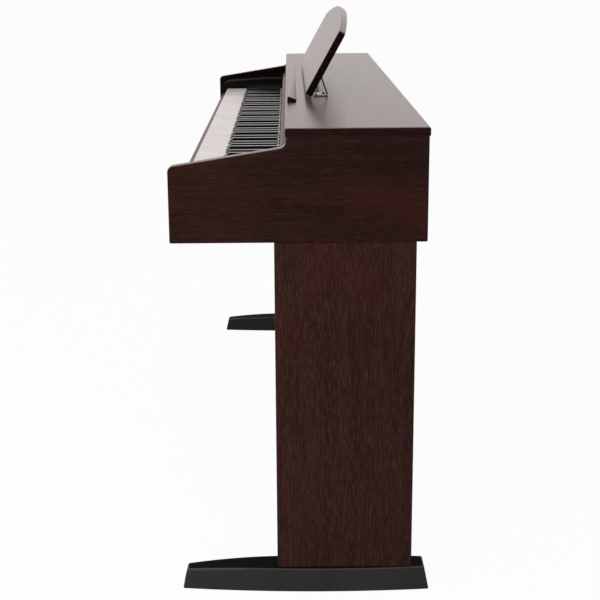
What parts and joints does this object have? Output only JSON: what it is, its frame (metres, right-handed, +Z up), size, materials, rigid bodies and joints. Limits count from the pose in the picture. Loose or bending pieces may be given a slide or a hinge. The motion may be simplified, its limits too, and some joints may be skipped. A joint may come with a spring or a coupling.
{
  "type": "console digital piano",
  "caption": "Console digital piano with a dark wood-grain cabinet, sliding key cover, folding arched music desk, weighted keys, board legs and pedals.",
  "frame": {"origin": "Middle of the bounding box in X and Y, on the floor under the feet.", "axes": "+X runs along the keyboard to the treble end, the player sits at -Y, +Z is up."},
  "size_m": [1.4122, 0.4285, 0.9607],
  "materials": {
    "rosewood_laminate": "satin printed rosewood laminate",
    "dark_board": "matte dark board",
    "white_key_plastic": "satin off-white",
    "black_key_plastic": "satin black",
    "black_plastic": "satin black",
    "grey_plastic": "matte grey",
    "black_metal": "satin black",
    "pedal_brass": "polished",
    "circuit_board": "green solder mask"
  },
  "bodies": {
    "cabinet": {"lid": "rosewood_laminate", "cheek_bass": "rosewood_laminate", "cheek_treble": "rosewood_laminate", "key_bed": "rosewood_laminate", "key_slip": "rosewood_laminate", "rear_panel": "dark_board", "key_block_bass": "black_plastic", "key_block_treble": "black_plastic", "name_rail": "black_plastic", "key_frame": "grey_plastic", "leg_bass": "rosewood_laminate", "leg_treble": "rosewood_laminate", "foot_bass": "black_plastic", "foot_treble": "black_plastic", "back_board": "dark_board", "pedal_box": "rosewood_laminate", "page_ledge": "rosewood_laminate", "desk_hinge": "black_metal", "prop_plate_bass": "black_metal", "prop_plate_treble": "black_metal", "speaker_bass": "black_metal", "speaker_treble": "black_metal", "main_board": "circuit_board", "connector_panel": "black_plastic", "headphone_box": "black_plastic"},
    "cover": {"key_cover": "dark_board", "cover_rail": "rosewood_laminate"},
    "desk": {"music_desk": "rosewood_laminate"},
    "prop_bass_swing": {"prop_bass": "black_metal"},
    "prop_treble_swing": {"prop_treble": "black_metal"},
    "soft_pedal": {"pedal_soft": "pedal_brass"},
    "sostenuto_pedal": {"pedal_sostenuto": "pedal_brass"},
    "damper_pedal": {"pedal_damper": "pedal_brass"},
    "adjuster": {"pedal_adjuster": "black_plastic"},
    "volume": {"volume_knob": "black_plastic"},
    "power": {"power_button": "grey_plastic"},
    "white_keys_1_body": {"white_keys_1": "white_key_plastic"},
    "black_keys_1_body": {"black_keys_1": "black_key_plastic"},
    "white_keys_2_body": {"white_keys_2": "white_key_plastic"},
    "black_keys_2_body": {"black_keys_2": "black_key_plastic"},
    "white_keys_3_body": {"white_keys_3": "white_key_plastic"},
    "black_keys_3_body": {"black_keys_3": "black_key_plastic"},
    "key_c4_body": {"key_c4": "white_key_plastic"},
    "key_d4_body": {"key_d4": "white_key_plastic"},
    "key_e4_body": {"key_e4": "white_key_plastic"},
    "key_f4_body": {"key_f4": "white_key_plastic"},
    "key_g4_body": {"key_g4": "white_key_plastic"},
    "key_a4_body": {"key_a4": "white_key_plastic"},
    "key_b4_body": {"key_b4": "white_key_plastic"},
    "key_c_sharp4_body": {"key_c_sharp4": "black_key_plastic"},
    "key_d_sharp4_body": {"key_d_sharp4": "black_key_plastic"},
    "key_f_sharp4_body": {"key_f_sharp4": "black_key_plastic"},
    "key_g_sharp4_body": {"key_g_sharp4": "black_key_plastic"},
    "key_a_sharp4_body": {"key_a_sharp4": "black_key_plastic"},
    "white_keys_5_body": {"white_keys_5": "white_key_plastic"},
    "black_keys_5_body": {"black_keys_5": "black_key_plastic"},
    "white_keys_6_body": {"white_keys_6": "white_key_plastic"},
    "black_keys_6_body": {"black_keys_6": "black_key_plastic"},
    "white_keys_7_body": {"white_keys_7": "white_key_plastic"},
    "black_keys_7_body": {"black_keys_7": "black_key_plastic"}
  },
  "joints": [
    {"name": "cover_slide", "type": "slide", "parent": "cabinet", "child": "cover", "axis": [0, -1, 0], "range_m": [0, 0.155]},
    {"name": "desk_fold", "type": "hinge", "parent": "cabinet", "child": "desk", "pos_m": [0, 0.02553, 0.80734], "axis": [-1, 0, 0], "range_deg": [0, 61]},
    {"name": "prop_bass_fold", "type": "hinge", "parent": "desk", "child": "prop_bass_swing", "pos_m": [-0.28, 0.04336, 0.83976], "axis": [1, 0, 0], "range_deg": [0, 131.2]},
    {"name": "prop_treble_fold", "type": "hinge", "parent": "desk", "child": "prop_treble_swing", "pos_m": [0.28, 0.04336, 0.83976], "axis": [1, 0, 0], "range_deg": [0, 131.2]},
    {"name": "soft_pedal_press", "type": "hinge", "parent": "cabinet", "child": "soft_pedal", "pos_m": [-0.07, 0.1, 0.074], "axis": [1, 0, 0], "range_deg": [0, 7], "stiffness_Nm_per_rad": 6, "springref_deg": -20.05},
    {"name": "sostenuto_pedal_press", "type": "hinge", "parent": "cabinet", "child": "sostenuto_pedal", "pos_m": [0, 0.1, 0.074], "axis": [1, 0, 0], "range_deg": [0, 7], "stiffness_Nm_per_rad": 6, "springref_deg": -20.05},
    {"name": "damper_pedal_press", "type": "hinge", "parent": "cabinet", "child": "damper_pedal", "pos_m": [0.07, 0.1, 0.074], "axis": [1, 0, 0], "range_deg": [0, 7], "stiffness_Nm_per_rad": 6, "springref_deg": -20.05},
    {"name": "adjuster_turn", "type": "hinge", "parent": "cabinet", "child": "adjuster", "pos_m": [0, 0.09, 0], "axis": [0, 0, 1], "range_deg": [0, 720]},
    {"name": "volume_turn", "type": "hinge", "parent": "cabinet", "child": "volume", "pos_m": [0.6425, -0.105, 0.726], "axis": [0, 0, 1], "range_deg": [-150, 150]},
    {"name": "power_press", "type": "slide", "parent": "cabinet", "child": "power", "axis": [0, 0, -1], "range_m": [0, 0.0015], "stiffness_N_per_m": 400, "springref_m": -0.003},
    {"name": "white_keys_1_press", "type": "hinge", "parent": "cabinet", "child": "white_keys_1_body", "pos_m": [-0.50525, 0.026, 0.6985], "axis": [1, 0, 0], "range_deg": [0, 2.7], "stiffness_Nm_per_rad": 4.5, "springref_deg": -22.92},
    {"name": "black_keys_1_press", "type": "hinge", "parent": "cabinet", "child": "black_keys_1_body", "pos_m": [-0.5019, 0.026, 0.6985], "axis": [1, 0, 0], "range_deg": [0, 2.7], "stiffness_Nm_per_rad": 1.8, "springref_deg": -22.92},
    {"name": "white_keys_2_press", "type": "hinge", "parent": "cabinet", "child": "white_keys_2_body", "pos_m": [-0.31725, 0.026, 0.6985], "axis": [1, 0, 0], "range_deg": [0, 2.7], "stiffness_Nm_per_rad": 3.5, "springref_deg": -22.92},
    {"name": "black_keys_2_press", "type": "hinge", "parent": "cabinet", "child": "black_keys_2_body", "pos_m": [-0.31669, 0.026, 0.6985], "axis": [1, 0, 0], "range_deg": [0, 2.7], "stiffness_Nm_per_rad": 1.5, "springref_deg": -22.92},
    {"name": "white_keys_3_press", "type": "hinge", "parent": "cabinet", "child": "white_keys_3_body", "pos_m": [-0.15275, 0.026, 0.6985], "axis": [1, 0, 0], "range_deg": [0, 2.7], "stiffness_Nm_per_rad": 3.5, "springref_deg": -22.92},
    {"name": "black_keys_3_press", "type": "hinge", "parent": "cabinet", "child": "black_keys_3_body", "pos_m": [-0.15219, 0.026, 0.6985], "axis": [1, 0, 0], "range_deg": [0, 2.7], "stiffness_Nm_per_rad": 1.5, "springref_deg": -22.92},
    {"name": "key_c4_press", "type": "hinge", "parent": "cabinet", "child": "key_c4_body", "pos_m": [-0.05875, 0.026, 0.6985], "axis": [1, 0, 0], "range_deg": [0, 2.7], "stiffness_Nm_per_rad": 0.5, "springref_deg": -22.92},
    {"name": "key_d4_press", "type": "hinge", "parent": "cabinet", "child": "key_d4_body", "pos_m": [-0.03525, 0.026, 0.6985], "axis": [1, 0, 0], "range_deg": [0, 2.7], "stiffness_Nm_per_rad": 0.5, "springref_deg": -22.92},
    {"name": "key_e4_press", "type": "hinge", "parent": "cabinet", "child": "key_e4_body", "pos_m": [-0.01175, 0.026, 0.6985], "axis": [1, 0, 0], "range_deg": [0, 2.7], "stiffness_Nm_per_rad": 0.5, "springref_deg": -22.92},
    {"name": "key_f4_press", "type": "hinge", "parent": "cabinet", "child": "key_f4_body", "pos_m": [0.01175, 0.026, 0.6985], "axis": [1, 0, 0], "range_deg": [0, 2.7], "stiffness_Nm_per_rad": 0.5, "springref_deg": -22.92},
    {"name": "key_g4_press", "type": "hinge", "parent": "cabinet", "child": "key_g4_body", "pos_m": [0.03525, 0.026, 0.6985], "axis": [1, 0, 0], "range_deg": [0, 2.7], "stiffness_Nm_per_rad": 0.5, "springref_deg": -22.92},
    {"name": "key_a4_press", "type": "hinge", "parent": "cabinet", "child": "key_a4_body", "pos_m": [0.05875, 0.026, 0.6985], "axis": [1, 0, 0], "range_deg": [0, 2.7], "stiffness_Nm_per_rad": 0.5, "springref_deg": -22.92},
    {"name": "key_b4_press", "type": "hinge", "parent": "cabinet", "child": "key_b4_body", "pos_m": [0.08225, 0.026, 0.6985], "axis": [1, 0, 0], "range_deg": [0, 2.7], "stiffness_Nm_per_rad": 0.5, "springref_deg": -22.92},
    {"name": "key_c_sharp4_press", "type": "hinge", "parent": "cabinet", "child": "key_c_sharp4_body", "pos_m": [-0.04923, 0.026, 0.6985], "axis": [1, 0, 0], "range_deg": [0, 2.7], "stiffness_Nm_per_rad": 0.3, "springref_deg": -22.92},
    {"name": "key_d_sharp4_press", "type": "hinge", "parent": "cabinet", "child": "key_d_sharp4_body", "pos_m": [-0.02127, 0.026, 0.6985], "axis": [1, 0, 0], "range_deg": [0, 2.7], "stiffness_Nm_per_rad": 0.3, "springref_deg": -22.92},
    {"name": "key_f_sharp4_press", "type": "hinge", "parent": "cabinet", "child": "key_f_sharp4_body", "pos_m": [0.02015, 0.026, 0.6985], "axis": [1, 0, 0], "range_deg": [0, 2.7], "stiffness_Nm_per_rad": 0.3, "springref_deg": -22.92},
    {"name": "key_g_sharp4_press", "type": "hinge", "parent": "cabinet", "child": "key_g_sharp4_body", "pos_m": [0.047, 0.026, 0.6985], "axis": [1, 0, 0], "range_deg": [0, 2.7], "stiffness_Nm_per_rad": 0.3, "springref_deg": -22.92},
    {"name": "key_a_sharp4_press", "type": "hinge", "parent": "cabinet", "child": "key_a_sharp4_body", "pos_m": [0.07385, 0.026, 0.6985], "axis": [1, 0, 0], "range_deg": [0, 2.7], "stiffness_Nm_per_rad": 0.3, "springref_deg": -22.92},
    {"name": "white_keys_5_press", "type": "hinge", "parent": "cabinet", "child": "white_keys_5_body", "pos_m": [0.17625, 0.026, 0.6985], "axis": [1, 0, 0], "range_deg": [0, 2.7], "stiffness_Nm_per_rad": 3.5, "springref_deg": -22.92},
    {"name": "black_keys_5_press", "type": "hinge", "parent": "cabinet", "child": "black_keys_5_body", "pos_m": [0.17681, 0.026, 0.6985], "axis": [1, 0, 0], "range_deg": [0, 2.7], "stiffness_Nm_per_rad": 1.5, "springref_deg": -22.92},
    {"name": "white_keys_6_press", "type": "hinge", "parent": "cabinet", "child": "white_keys_6_body", "pos_m": [0.34075, 0.026, 0.6985], "axis": [1, 0, 0], "range_deg": [0, 2.7], "stiffness_Nm_per_rad": 3.5, "springref_deg": -22.92},
    {"name": "black_keys_6_press", "type": "hinge", "parent": "cabinet", "child": "black_keys_6_body", "pos_m": [0.34131, 0.026, 0.6985], "axis": [1, 0, 0], "range_deg": [0, 2.7], "stiffness_Nm_per_rad": 1.5, "springref_deg": -22.92},
    {"name": "white_keys_7_press", "type": "hinge", "parent": "cabinet", "child": "white_keys_7_body", "pos_m": [0.517, 0.026, 0.6985], "axis": [1, 0, 0], "range_deg": [0, 2.7], "stiffness_Nm_per_rad": 4, "springref_deg": -22.92},
    {"name": "black_keys_7_press", "type": "hinge", "parent": "cabinet", "child": "black_keys_7_body", "pos_m": [0.50581, 0.026, 0.6985], "axis": [1, 0, 0], "range_deg": [0, 2.7], "stiffness_Nm_per_rad": 1.5, "springref_deg": -22.92}
  ],
  "couplings": [
    {"joint": "prop_bass_fold", "follows": "desk_fold", "ratio": 2.149},
    {"joint": "prop_treble_fold", "follows": "desk_fold", "ratio": 2.149}
  ]
}
